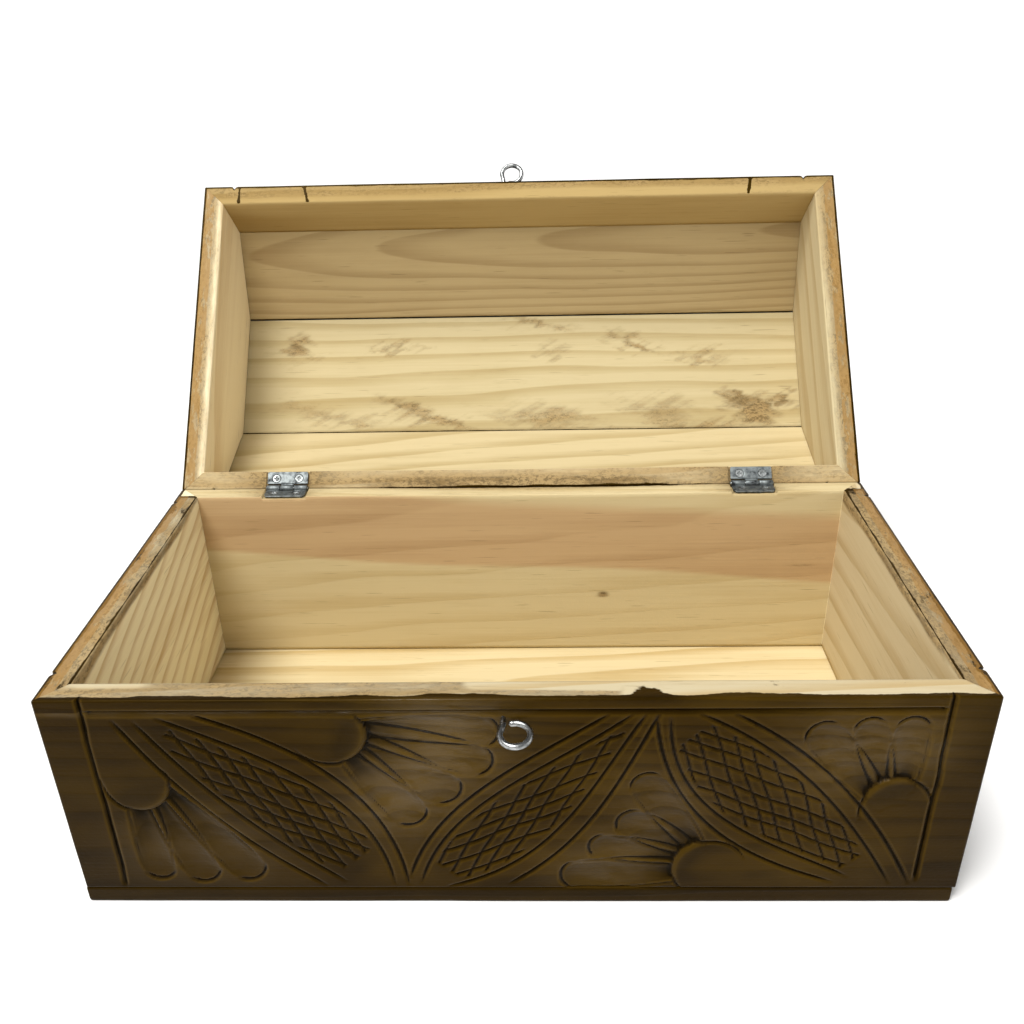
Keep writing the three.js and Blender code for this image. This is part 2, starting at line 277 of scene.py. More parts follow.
    # painted highlight: what stands above its neighbours is lightened, which also stands for stain worn
    # lighter there
    stained = blend(spread(crease_shading, -0.06, -0.36, 0, 0.5), stained, thin_stain_and_highlight)
    # painted highlight: where the stain dried glossy, its colour is lightened as well as given a coat
    stained = blend(times(gloss, 0.55), stained, blend(tone, painted_highlight, thin_stain_and_highlight))
    # painted shade: the cuts are darkened by how deep they lie below their neighbours, which also stands for
    # stain gathered there
    stained = blend(spread(crease_shading, 0.1, 0.4, 0, 0.96), stained, cut_stain_and_shade)

    stain_mask = spread(less(mask("stain_cover"), times(patch, 0.9)), -0.035, 0.045)
    gilt_mask = spread(less(mask("varnish_cover"), drop), -0.02, 0.05)
    colour = blend(times(gilt_mask, 0.55), blend(stain_mask, bare, stained), golden)
    rough = less(plus(times(stain_mask, -0.3), 0.66), times(gilt_mask, 0.2))
    rough = plus(rough, times(less(fibre, 0.5), 0.22))
    height = plus(times(fibre, 0.55), times(late, 0.35), times(times(gilt_mask, drop), 1.6))
    height = plus(height, times(times(grit, stain_mask), 0.5))
    bump = node("ShaderNodeBump", {"Height": height, "Strength": 0.55, "Distance": 0.00022}).outputs[0]
    shader = node("ShaderNodeBsdfPrincipled", {
        "Base Color": colour, "Roughness": rough, "Normal": bump,
        "Specular IOR Level": 0.07, "Specular Tint": (1.0, 0.66, 0.2, 1),
        "Coat Weight": times(gloss, spread(drop, 0.35, 0.6, 0.05, 0.45)),
        "Coat Roughness": 0.24, "Coat Normal": bump,
    })
    node("ShaderNodeOutputMaterial", {0: shader.outputs[0]})
    return made


def plain(a, b):
    """A planed face left without carving: a little waviness that runs aslant."""
    return 0.06 + wander(a + 3 * b, 5, 90, 0.05)


def bottom_cover(a, b, c, part):
    """Stain on the underside and the edges, and on the margin that shows round the foot of the walls."""
    margin = 4
    bare = (part == 2) & (np.abs(a) <= half_width - margin) & (np.abs(b) <= half_depth - margin)
    return {"stain_cover": np.where(bare, 0.0, 1.0), "second_coat": 0.75 * (part != 2)}


bottom = board(
    "bottom_board_pine",
    stations(-half_width, half_width - 1.2, 1.5),
    lambda a, c: -half_depth + 0.25 + wander(a, 11, 300, 0.12) + 0 * c,
    lambda a, c: half_depth - 0.25 + wander(a, 12, 300, 0.12) + 0 * c,
    bottom_thick - 0.05, plain, 0, frame_of((1, 0, 0), (0, -1, 0), (0, 0, 0)),
    bottom_cover, (60, 8, 60, 8),
)
pine = wood("floor_pine", (0.67, 0.56, 0.33), (0.46, 0.32, 0.12), (-0.03, 0.07), (0.03, 0.02), 0.005, 1)
finish(bottom, pine, "case", "bottom_board")


# ---- Front board of the case ---------------------------------------------------------------------
# A 9.5 mm pine board mitred to the two side boards and carved by hand with a V tool and gouges:
# three lens-shaped leaves with double outlines and a netted middle, and four buds with scooped petals.

wall_foot, wall_top = (corner[2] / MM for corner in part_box("front_board"))
wall_thick = (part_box("front_board")[1][1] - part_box("front_board")[0][1]) / MM
wall_half = half_width - 0.06  # what is left of a mitre's gap is taken off each end
inset = 0.04  # the faces lie this far inside the box's outline
upright = (0, 0, 1)
wall_places = {
    "front": frame_of((1, 0, 0), upright, (0, inset - half_depth, 0)),
    "left": frame_of((0, -1, 0), upright, (inset - half_width, 0, 0)),
    "right": frame_of((0, 1, 0), upright, (half_width - inset, 0, 0)),
    "back": frame_of((-1, 0, 0), upright, (0, half_depth - inset, 0)),
}


def bow(start, end, bulge, lean=0.0, count=26):
    """A bowed line: the straight line plus a parabola of height bulge on its left, whose belly leans
    towards the end for a positive lean."""
    t = np.linspace(0, 1, count)
    start, end = np.array(start, float), np.array(end, float)
    run = end - start
    left = np.array([-run[1], run[0]]) / np.hypot(*run)
    rise = bulge * 4 * t * (1 - t) * (1 + lean * (2 * t - 1))
    return start + t[:, None] * run + rise[:, None] * left


def arc(centre, radii, first, last, count=22):
    """A stretch of an ellipse, from one angle to another, in degrees from the right."""
    t = np.radians(np.linspace(first, last, count))
    return np.array(centre) + np.stack([radii[0] * np.cos(t), radii[1] * np.sin(t)], 1)


def v_cut(a, b, line, width, depth, taper=0.08):
    """Depth of a V-shaped cut along a line: deepest on the line, straight up to nothing at half its
    width to each side, and shallower towards both ends over the share taper of its length."""
    near = np.full(a.shape, width)
    share = np.zeros(a.shape)
    low, high = line.min(0) - width, line.max(0) + width
    here = (a > low[0]) & (a < high[0]) & (b > low[1]) & (b < high[1])
    pa, pb, best, at = a[here], b[here], near[here], share[here]
    steps = len(line) - 1
    for k in range(steps):
        (x, y), (dx, dy) = line[k], line[k + 1] - line[k]
        t = np.clip(((pa - x) * dx + (pb - y) * dy) / (dx * dx + dy * dy), 0, 1)
        away = np.hypot(pa - x - t * dx, pb - y - t * dy)
        closer = away < best
        best, at = np.where(closer, away, best), np.where(closer, (k + t) / steps, at)
    near[here], share[here] = best, at
    fade = np.clip(np.minimum(share, 1 - share) / taper + 0.25, 0, 1) if taper else 1.0
    return depth * np.clip(1 - near / (width / 2), 0, 1) * fade


def net(a, b, angles, spacing, seed):
    """Two crossing families of fine V cuts at the given angles, a little uneven, as depths."""
    deep, half = 0.95, 0.85
    depth = 0
    for k, angle in enumerate(angles):
        s, c = math.sin(math.radians(angle)), math.cos(math.radians(angle))
        off = (c * b - s * a) / spacing + 0.06 * np.sin(0.21 * (c * a + s * b) + seed + k)
        off = off + 0.1 * np.sin(1.7 * np.round(off) + seed)
        from_line = np.abs(off - np.round(off)) * spacing
        depth = np.maximum(depth, deep * np.clip(1 - from_line / half, 0, 1))
    return depth


def beside(a, b, start, end):
    """A point's place by a straight line: how far along it, how far to its left, and its length."""
    run = np.array(end, float) - start
    length = np.hypot(*run)
    along = ((a - start[0]) * run[0] + (b - start[1]) * run[1]) / length
    left = ((b - start[1]) * run[0] - (a - start[0]) * run[1]) / length
    return along, left, length


def leaf(a, b, outer, inner, angles, seed):
    """A leaf: two outer and two inner bowed outlines, and a net between the inner two. Each outline is
    (start, end, bulge, lean). A point is inside where it lies between the parabolas, less a margin."""
    spacing, margin = 5.2, 2.3  # of the net, and from its outlines
    depth = 0
    for line in outer:
        depth = np.maximum(depth, v_cut(a, b, bow(*line), 1.7, 1.35))
    inside = np.ones(a.shape, bool)
    for start, end, bulge, lean in inner:
        depth = np.maximum(depth, v_cut(a, b, bow(start, end, bulge, lean), 1.6, 1.2))
        along, left, length = beside(a, b, start, end)
        t = along / length
        edge = bulge * 4 * t * (1 - t) * (1 + lean * (2 * t - 1))
        inside &= (np.sign(bulge) * (edge - left) > margin) & (t > 0.06) & (t < 0.95)
    return np.maximum(depth, np.where(inside, net(a, b, angles, spacing, seed), 0))


def petal(a, b, root, tip, half, deep, shallow):
    """A petal scooped with a gouge: it widens from the bud, its section is a round hollow, it gets
    shallower outwards, and it stops in a round scallop at the tip."""
    along, side, length = beside(a, b, root, tip)
    share = np.clip(along / length, 0, 1)
    width = half * (0.5 + 0.5 * np.sin(math.pi / 2 * np.clip(share * 1.4, 0, 1)))
    past = np.clip(along - (length - half), 0, None)
    reach = np.hypot(past / half, side / width)
    hollow = np.clip(1 - reach**2, 0, 1) ** 0.62
    floor = deep + (shallow - deep) * share**0.75
    return np.where(along > -half, floor * hollow, 0)


def flower(a, b, centre, radii, outline, petals, deep=2.4):
    """A bud with petals scooped out around it, deepest at the bud. The bud keeps the board's own
    surface, rounded over where a petal meets it; a stop cut runs round that edge over the angles in
    outline, a crescent cut ends each petal, and thin V cuts part it from the next."""
    shallow, sweep = 1.1, 66  # a petal's depth at its tip, half the crescent's angle
    depth = ridges = 0
    for root, tip, half in petals:
        depth = np.maximum(depth, petal(a, b, root, tip, half, deep, shallow))
        heading = math.degrees(math.atan2(tip[1] - root[1], tip[0] - root[0]))
        unit = np.array([math.cos(math.radians(heading)), math.sin(math.radians(heading))])
        tip_middle = np.array(tip) - half * unit
        crescent = arc(tip_middle, (half, half), heading - sweep, heading + sweep)
        depth = np.maximum(depth, v_cut(a, b, crescent, 1.5, 1.5, 0.25))
        for hand in (-1, 1):
            aside = hand * half * np.array([-unit[1], unit[0]])
            side = bow(root + 0.62 * aside, tip_middle + 0.97 * aside, hand * 0.8)
            ridges = np.maximum(ridges, v_cut(a, b, side, 1.4, 0.8, 0.2))
    depth = depth + ridges
    from_middle = np.sqrt(((a - centre[0]) / radii[0]) ** 2 + ((b - centre[1]) / radii[1]) ** 2)
    edge = (1 - from_middle) * min(radii)
    depth = np.where(edge > 0, np.minimum(depth, 0.1 + rounded(edge, 1.8) * 0.7), depth)
    return np.maximum(depth, v_cut(a, b, arc(centre, radii, *outline), 1.3, 1.1, 0.12))


def ramp(x, start, end):
    """A straight rise from 0 at start to 1 at end, and level outside them; end may come first."""
    return np.clip((x - start) / (end - start), 0, 1)


def bell(x, middle, half, power=2):
    """A bell curve: 1 in the middle and about a third half away. A power of 4 gives it a flat top."""
    return np.exp(-(((x - middle) / half) ** power))


def spot(a, b, centre, half):
    """A soft oval spot, a bell curve both ways; half is its half length and height, or one for both."""
    half_a, half_b = np.broadcast_to(half, 2)
    return np.exp(-(((a - centre[0]) / half_a) ** 2 + ((b - centre[1]) / half_b) ** 2))


def by_part(part, face, upper, back, lower):
    """One mask from its values on a board's face, upper edge, back and lower edge."""
    return np.select([part == 0, part == 1, part == 2], [face, upper, back], lower)


def lip(a, b, height, half):
    """The line under the rim: a steep cut at its upper side and a long curved bevel down to the panel.
    It fades out half to each side of the board's middle."""
    deep, steep, bevel, fade = 1.6, 0.45, 2.4, 1.5
    level = height + wander(a, 31, 260, 0.06)
    depth = np.where(b < level, ramp(b, level - bevel, level) ** 1.7, ramp(b, level + steep, level))
    return deep * depth * np.clip((half - np.abs(a)) / fade, 0, 1)


def planed(a, b, seed, ripple=0.0):
    """The face before it is carved: a slow waviness along the board, and a quicker ripple across it."""
    return 0.05 + wander(a + 0.6 * b, seed, 140, 0.05) + wander(b - 0.3 * a, seed + 1, 50, ripple)


def borders(a, b, half, feet, head, seed, width=2.3):
    """The two upright border cuts, half to each side of the middle, with the wobble of the hand."""
    cuts = []
    for k, (at, foot) in enumerate(zip((-half, half), feet)):
        height = np.linspace(foot, head, 30)
        line = np.stack([at + wander(height, seed + k, 60, 0.3), height], 1)
        cuts.append(v_cut(a, b, line, width, 1.4, 0.03))
    return cuts


border = half_width - 14.6
lip_height = wall_top - 4.7
front_leaves = [  # outer outlines, inner outlines, angles of the net
    (
        [((-126, 80), (-65.5, 8.3), -5.7, 0.0), ((-103, 83), (-36.7, 8.7), 15.8, 0.15)],
        [((-119.3, 79.5), (-58.5, 10.3), -4.5, 0.0), ((-112, 81), (-41.5, 9), 14, 0.4)],
        (-66, -27),
    ),
    (
        [((-36, 12), (31, 82), 8.4, -0.5), ((-1.7, 9.3), (46.3, 82), -6.6, -0.4)],
        [((-32.3, 9.5), (38.3, 82), 8, -0.76), ((-23, 7.7), (42.3, 82), -10.6, -0.55)],
        (63, 25),
    ),
    (
        [((45.3, 81), (107, 10), -15.6, -0.1), ((69, 82), (133, 9.5), 7.8, -0.1)],
        [((49.7, 80), (112, 12.5), -14, -0.45), ((58, 82), (126.5, 9.5), 8.1, -0.2)],
        (-72, -25),
    ),
]
front_flowers = [  # bud's centre and radii, stretch of its outline, petals (root, tip, half width), depth
    ((-123.4, 55), (11.2, 13), (172, 382), [
        ((-124, 48), (-122, 11.5), 5.6), ((-119, 47), (-105.5, 10.5), 6.2),
        ((-114, 50), (-88.5, 12), 6.4)], 3.2),
    ((-58.5, 74), (12.6, 11.8), (-152, 48), [
        ((-50, 76), (-4, 75), 6.2), ((-49, 73.5), (-6.5, 62), 6.4),
        ((-50, 70), (-18, 48.5), 6.8), ((-52, 66), (-31.5, 37), 6.6)], 2.9),
    ((65.5, 15.5), (12.6, 12.8), (232, 24), [
        ((61, 24), (41, 57), 6), ((58, 23), (35, 39.5), 6.2),
        ((56, 20), (25, 27), 5.6), ((56, 14.5), (15.5, 12.5), 7)], 2.2),
    ((124, 42), (11.6, 13.3), (196, -22), [
        ((124.5, 50), (124.8, 80), 5.7), ((120, 50), (110.3, 79.5), 5.3),
        ((117, 48), (94.5, 77), 6.4)], 2.2),
]
petal_gloss_and_highlight = (0.3, 1.0, 0.5, 0.7)  # how glossy the stain dried on each bud's petals, and how strong the painted highlight in their colour is
leaf_coats = [  # foot and tip of each leaf's second coat, and how strong it is
    ((-50, 12), (-114, 78), 0.8), ((-28, 11), (38, 79), 0.5), ((120, 12), (54, 79), 0.3),
]


def carve_front(a, b):
    """All the cuts in the front board, each point as deep as the deepest of them."""
    cuts = [planed(a, b, 21, 0.03), lip(a, b, lip_height, border - 1)]
    cuts += [leaf(a, b, *shape, seed) for seed, shape in enumerate(front_leaves)]
    cuts += [flower(a, b, *bud) for bud in front_flowers]
    return np.maximum.reduce(cuts + borders(a, b, border, (8, 11), wall_top + 4, 23, 2.0))


def rim_line(a, c):
    """The case's rim: flat, with a little unevenness from the plane."""
    return wall_top - 0.04 + wander(a, 41, 200, 0.04) + 0 * c


def foot_line(a, c):
    """The walls' foot: a level line just under the bottom board's top."""
    return wall_foot - 0.2 + 0 * a + 0 * c


def front_cover(a, b, c, part):
    """Stained face and foot, bare back. The rim has stain at the face's edge, a film of it on its left
    two thirds apart from a bare streak and sliver, and is nearly bare on the right. The face has a
    second coat at both ends, the foot and the leaves, painted shade at the petals' roots under each bud,
    and a glossy coat with a painted highlight in its colour on some petals and just under the lip line."""
    run_over = np.clip(1.25 - c / (2.2 + wander(a, 33, 90, 0.8)), 0, 1)
    worn = 0.25 + 0.7 * run_over + 0.5 * spot(a, c, (43, 2.5), (5.44, 3.4))
    left = ramp(a, 36, 33)
    streak = left * ramp(a, -16, -10) * ramp(c - 0.03 * (34 - a), 3.6, 4.8)
    sliver = bell(a, -129, 12, 4) * ramp(c, 6, 7.5)
    film = left * (0.64 - streak - sliver) + 0.14
    dark_coat_and_shade = 0.6 * ramp(a, 15, -135) + 0.6 * ramp(a, 118, 148) + 0.7 * ramp(b, 13, 5)
    for foot, tip, share in leaf_coats:
        dark_coat_and_shade = dark_coat_and_shade + v_cut(a, b, bow(foot, tip, 2), 28, share)
    # painted highlight, with a glossy coat: the bevel just under the lip line on the left
    gloss = 0.8 * ramp(a, 10, -2) * ramp(b, lip_height - 2.4, lip_height) * (b < lip_height)
    for (_, _, _, petals, deep), shine_and_highlight in zip(front_flowers, petal_gloss_and_highlight):
        for root, tip, half in petals:
            run = np.array(tip, float) - root
            # painted shade: darker at each petal's root, under its bud
            dark_coat_and_shade = dark_coat_and_shade + 0.3 * deep * spot(a, b, root + 0.1 * run, 1.2 * half)
            # painted highlight, with a glossy coat: along the middle of each petal
            gloss = np.maximum(gloss, shine_and_highlight * spot(a, b, root + 0.62 * run, 0.42 * np.hypot(*run)))
    return {
        "stain_cover": by_part(part, 1.0, worn, 0.0, 1.0), "smudge": np.where(part == 1, film, 0.05),
        "second_coat": np.clip(dark_coat_and_shade, 0, 1), "gloss": gloss * (part == 0),
    }


front = board(
    "front_board_carved", stations(-wall_half, wall_half, 0.585, (-border, border)),
    foot_line, rim_line, wall_thick, carve_front, 1, wall_places["front"],
    front_cover, (142, 11, 6, 4), (lip_height, lip_height - 0.5),
)
pine = wood("front_pine", (0.52, 0.445, 0.29), (0.42, 0.29, 0.12), (0.01, 0.05), (0.05, 0.02), 0.0045, 2)
finish(front, pine, "case", "front_board")


# ---- Side boards of the case ---------------------------------------------------------------------
# Two more 9.5 mm pine boards, mitred at both ends. Each has the same border and lip, one leaf across
# its middle and two buds; the back top corner is bevelled for the open lid to rest on.

side_half = half_depth - 0.06
side_border = half_depth - 14.6
lid_hinge = frame["joints"][0]
pin_out, pin_height = lid_hinge["pos_m"][1] / MM, lid_hinge["pos_m"][2] / MM
open_angle = math.radians(lid_hinge["range_deg"][1])
stop_half_gap = 0.17  # from the stop bevel to the plane where case and lid meet
side_leaf = (
    [((-44, 81), (28, 9), -9, -0.1), ((-14, 82), (46, 9.5), 10, -0.1)],
    [((-37, 81), (31, 11.5), -7, -0.3), ((-23, 82), (41, 10.5), 9, -0.2)],
    (-68, -22),
)
side_flowers = [
    ((-52, 38), (11.5, 13), (180, 382), [
        ((-53, 30), (-52, 11), 5.4), ((-48, 30), (-36, 10.5), 6), ((-44, 34), (-19, 12.5), 6.2)]),
    ((53, 54), (11.5, 12.5), (20, -200), [
        ((54, 62), (55, 80.5), 5.4), ((49, 62), (39, 80), 5.8), ((45, 58), (20, 79), 6.2)]),
]


def bevel_height(y):
    """Height of the stop bevel's plane at a distance back: it passes just below the pins' axis and
    halves the angle that the lid opens through."""
    lean = open_angle / 2
    return pin_height - (stop_half_gap + (y - pin_out) * math.sin(lean)) / math.cos(lean)


def carve_side(a, b):
    """A side board's cuts: one leaf, two buds, the border and the line under the rim."""
    cuts = [planed(a, b, 51, 0.03), leaf(a, b, *side_leaf, 7), lip(a, b, lip_height, side_border - 1)]
    cuts += [flower(a, b, *bud) for bud in side_flowers]
    return np.maximum.reduce(cuts + borders(a, b, side_border, (9, 9), wall_top + 4, 53))


def side_cover(a, b, c, part, sign):
    """Stained outside. The rim has old golden varnish on its outer half and specks of stain on its
    inner half, is bare at its back end, and the stain ran over on to the top of the inner face."""
    inner_edge = wall_thick - 1.3
    rim = 0.33 + 0.5 * ramp(c, 2.64, 0.44) + 0.3 * ramp(c, inner_edge, inner_edge + 0.8)
    rim = rim + 0.7 * bell(sign * a, 67, 0.6)
    run_over = ramp(b + 0.02 * a, wall_top - 3.8, wall_top - 3.3)
    bare_end = ramp(sign * a, 67.5, 68.3)
    varnish = np.where((part == 1) & (c < 0.6 * wall_thick), 0.6 - 0.5 * bare_end, 0.0)
    film = by_part(part, 0, 0.95 - 0.75 * bare_end, run_over, 0)
    return {"stain_cover": by_part(part, 1.0, rim, 0.0, 1.0), "varnish_cover": varnish, "smudge": film}


def make_side(name, sign, pale, dark, pith, lean, pitch, seed):
    """The left board runs towards the front and the right board towards the back, so that both show
    their carved face outwards."""
    def top_line(a, c):
        return np.minimum(rim_line(a, c), bevel_height(sign * a))

    side = board(
        f"{name}_board_carved", stations(-side_half, side_half, 0.7, (-side_border, side_border)),
        foot_line, top_line, wall_thick, carve_side, 1, wall_places[name],
        lambda a, b, c, part: side_cover(a, b, c, part, sign), (116, 16, 40, 6), (lip_height,),
    )
    pine = wood(f"{name}_pine", pale, dark, pith, lean, pitch, seed)
    finish(side, pine, "case", f"{name}_board")


make_side("left", -1, (0.9, 0.81, 0.55), (0.56, 0.385, 0.18), (-0.03, 0.03), (0.35, 0.05), 0.0085, 3)
make_side("right", 1, (0.62, 0.52, 0.33), (0.46, 0.34, 0.17), (0.16, 0.09), (0.1, 0.0), 0.012, 4)


# ---- Back board of the case ----------------------------------------------------------------------
# Mitred like the others. Its top is bevelled towards the back, where the open lid rests, and cut away
# at two places for the hinges. Inside it shows a redder band of heartwood; outside, two leaves.

pin_boxes = [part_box(f"{side}_hinge_pin") for side in ("left", "right")]
hinge_middles = [(low[0] + high[0]) / 2 / MM for low, high in pin_boxes]
recess_half = 9.7  # half the width cut away for a hinge
barrel_room = 1.7  # radius left for the knuckles
seat_depth = 1.25  # leaf seat under the pins' axis
back_leaves = [
    (
        [((-128, 80), (-72, 8.5), -6, 0.0), ((-104, 82), (-44, 9), 13, 0.2)],
        [((-121, 80), (-66, 10), -4.5, 0.0), ((-112, 81), (-50, 9.5), 11, 0.3)],
        (-66, -27),
    ),
    (
        [((44, 9), (104, 82), 13, -0.2), ((72, 8.5), (128, 80), -6, 0.0)],
        [((50, 9.5), (112, 81), 11, -0.3), ((66, 10), (121, 80), -4.5, 0.0)],
        (66, 27),
    ),
]


def mirrored(*petals):
    """Each petal twice, once to each side of its bud's middle."""
    return [
        ((hand * root[0], root[1]), (hand * tip[0], tip[1]), half)
        for root, tip, half in petals for hand in (-1, 1)
    ]


back_flower = ((0, 30), (12.5, 12.5), (-215, 35), [
    ((0, 38), (0, 77), 6.2), *mirrored(((7, 37), (23, 70), 6), ((11, 31), (44, 54), 5.8))])


def carve_back(a, b):
    """The back board's cuts: two leaves, a bud between them, the border and a lower line under the rim."""
    cuts = [planed(a, b, 61, 0.03), flower(a, b, *back_flower), lip(a, b, lip_height - 3, border - 1)]
    cuts += [leaf(a, b, *shape, seed) for seed, shape in enumerate(back_leaves, 3)]
    return np.maximum.reduce(cuts + borders(a, b, border, (9, 9), wall_top - 4, 63))


def hinged_edge(a, c):
    """How far the edge by the hinges lies below the pins' axis, by place along and depth from the back
    face: the flat rim, planed a little hollow between the hinges, or the stop bevel, and at each hinge
    a round trough for the knuckles and a seat for the leaf."""
    u = half_depth - inset - c - pin_out
    below = np.maximum(pin_height - wall_top + 0.04, pin_height - bevel_height(pin_out + u)) + 0 * a
    below = below + 0.45 * bell(a, 0, 68, 4)
    trough = np.sqrt(np.clip(barrel_room**2 - u**2, 0, None))
    seat = np.where(u < 0, seat_depth, 0)
    at_hinge = np.min([np.abs(np.abs(a) - abs(middle)) for middle in hinge_middles], 0) < recess_half
    return np.where(at_hinge, np.maximum(below, np.maximum(trough, seat)), below)


def near_hinges(x, reach):
    """1 at each hinge, falling off along the rim as a bell curve."""
    return np.max([bell(np.abs(x), abs(middle), reach) for middle in hinge_middles], 0)


def gap_shadow(x, c):
    """A painted shadow: the dark strip along the gap between the two back rims."""
    return 0.7 * bell(x, 10, 68, 4) * ramp(c, 3.12, 0.72)


def back_cover(a, b, c, part):
    """Stained outside; the rim nearly bare, with brown by the hinges and a painted shadow along the gap
    to the lid. Inside, a band of heartwood falls from left to right, with a knot below it, a rub near the
    right end and a fine line low down."""
    x = -a
    # the rim's outer edge carries a painted shadow along the gap to the lid's rim
    rim = 0.2 + 0.25 * near_hinges(x, 15) * (x > 0) + 0.5 * ramp(c, 2, 0) + gap_shadow(x, c)
    film = 0.3 + 0.6 * near_hinges(x, 15) + 0.6 * bell(x, 10, 75, 4) * ramp(c, 5, 2)
    low = 50.7 - 0.062 * x + 1.2 * np.sin(x / 31)
    high = 86.5 - 0.055 * np.clip(x + 20, 0, None) + 6 / (1 + np.exp(np.clip((x + 40) / 9, -40, 40)))
    band = ramp(b, low, low + 1.6) * ramp(b, high, high - 5)
    knot = 1.3 * spot(x, b, (38, 36.4), (3, 1.5))
    rubs = knot + 0.6 * spot(x, b, (127, 51), (9.9, 0.9)) + 0.3 * bell(b + 0.045 * x, 29, 0.5)
    return {
        "stain_cover": by_part(part, 1.0, rim, 0.0, 1.0), "heartwood": band * (part == 2),
        "smudge": by_part(part, 0, film, rubs, 0),
    }


edges = [middle + step for middle in hinge_middles for step in (-recess_half, recess_half)]
back = board(
    "back_board_carved", stations(-wall_half, wall_half, 0.75, edges),
    foot_line, lambda a, c: pin_height - hinged_edge(a, c), wall_thick, carve_back, 1,
    wall_places["back"], back_cover, (104, 30, 60, 6),
)
pine = wood("back_pine", (0.62, 0.51, 0.29), (0.46, 0.33, 0.14), (0.11, 0.12), (0.04, 0.03), 0.007, 5, 0.3)
finish(back, pine, "case", "back_board")


# ---- Screw eyes ----------------------------------------------------------------------------------
# Two zinc-plated steel screw eyes bent from 2.1 mm wire, one in the case and one in the lid, for a
# padlock. The shank goes into the wood at the left of the loop, and the tip stops short of it.

wire = 1.04  # radius
loop = 4.7  # radius of the loop's centre line
loop_out = 6.4  # front face to the loop's middle
shank_side = 3.9  # loop's middle to the shank
shank_deep = 7.0
droop = math.radians(9)
case_eye_middle = (1.4, 7.6)  # right of the box's middle, and down from the rim


def metal(name, pale, dull, rough, seed):
    """Zinc plate: soft mottling between a pale and a dull grey with grime as dark specks, a fine grain
    in relief, and a surface that scatters more where it is dull."""
    made, node = new_material(name)
    place = node("ShaderNodeTexCoord").outputs["Object"]
    moved = node("ShaderNodeMapping", {0: place, 1: (seed, 2.0 * seed, 0)}).outputs[0]

    def noise(scale, detail):
        return node("ShaderNodeTexNoise", {"Vector": moved, "Scale": scale, "Detail": detail}).outputs["Fac"]

    def steps(value, *stops):
        ramp_node = node("ShaderNodeValToRGB", {0: value})
        marks = ramp_node.color_ramp.elements
        marks.remove(marks[1])
        for k, (at, colour) in enumerate(stops):
            mark = marks[0] if k == 0 else marks.new(at)
            mark.position = at
            mark.color = (*colour, 1)
        return ramp_node.outputs[0]

    cloud = noise(420, 4.0)
    grime = tuple(v * 0.3 for v in dull)
    greys = ((0.25, (rough + 0.22,) * 3), (0.55, (rough,) * 3), (0.85, (rough + 0.1,) * 3))
    grain = {"Height": noise(2600, 2.0), "Strength": 0.35, "Distance": 0.00006}
    shader = node("ShaderNodeBsdfPrincipled", {
        "Metallic": 1.0, "Base Color": steps(cloud, (0.3, grime), (0.4, dull), (0.62, pale), (0.8, dull)),
        "Roughness": steps(cloud, *greys), "Normal": node("ShaderNodeBump", grain).outputs[0],
    })
    node("ShaderNodeOutputMaterial", {0: shader.outputs[0]})
    return made


def surface(points, caps=True, flip=False, round_again=False):
    """Faces for a grid of points, rows along and columns around, with flat caps on the end rows, or
    with the last row joined to the first."""
    count, ring = points.shape[:2]
    i, j = np.meshgrid(np.arange(count if round_again else count - 1), np.arange(ring), indexing="ij")
    k, after = (j + 1) % ring, (i + 1) % count
    faces = np.stack([i * ring + j, i * ring + k, after * ring + k, after * ring + j], -1)
    faces = faces.reshape(-1, 4).tolist()
    if caps:
        faces += [list(range(ring - 1, -1, -1)), list(range((count - 1) * ring, count * ring))]
    if flip:
        faces = [face[::-1] for face in faces]
    return points.reshape(-1, 3), faces


def joined(name, shells, place, material, body, node):
    """One piece from several closed shells, each a pair of points and faces, put in place and finished."""
    points, faces, start = [], [], 0
    for shell_points, shell_faces in shells:
        points.append(shell_points)
        faces += [[start + v for v in face] for face in shell_faces]
        start += len(shell_points)
    finish(new_piece(name, np.concatenate(points), faces, place), material, body, node)


def eye_wire():
    """The bent wire: a round section carried along a flat path, which is the straight shank, a short
    blend and an arc of the loop. The blend is the cubic that leaves the shank and meets the arc in their
    own directions. The last rows shrink as a circle does, for a rounded tip."""
    entry = math.radians(200)
    tip = -math.acos((wire + 0.3 - shank_side) / (loop + wire))
    turn = np.linspace(entry, tip, 72)
    arc_part = np.stack([shank_side + loop * np.cos(turn), loop_out + loop * np.sin(turn)], 1)
    out = np.linspace(-shank_deep, loop_out / 3, 14)
    shank = np.stack([0 * out, out], 1)
    t = np.linspace(0, 1, 8)[1:-1, None]
    rise, lead = np.array([0, 1.2]), np.array([-math.sin(entry), math.cos(entry)]) * -1.2
    blend = (2 * t**3 - 3 * t**2 + 1) * shank[-1] + (t**3 - 2 * t**2 + t) * rise
    blend = blend + (3 * t**2 - 2 * t**3) * arc_part[0] + (t**3 - t**2) * lead
    path = np.concatenate([shank, blend, arc_part])
    heading = np.gradient(path, axis=0)
    heading /= np.linalg.norm(heading, axis=1)[:, None]
    travel = np.concatenate([[0], np.cumsum(np.linalg.norm(np.diff(path, axis=0), axis=1))])
    to_tip = travel[-1] - travel
    radius = wire * np.sqrt(1 - np.clip(1 - to_tip / wire, 0, 0.98) ** 2)[:, None]
    around = np.linspace(0, 2 * math.pi, 24, endpoint=False)
    x = path[:, :1] + radius * np.cos(around) * heading[:, 1:]
    y = path[:, 1:] - radius * np.cos(around) * heading[:, :1]
    return surface(np.stack([x, -y, radius * np.sin(around)], -1))


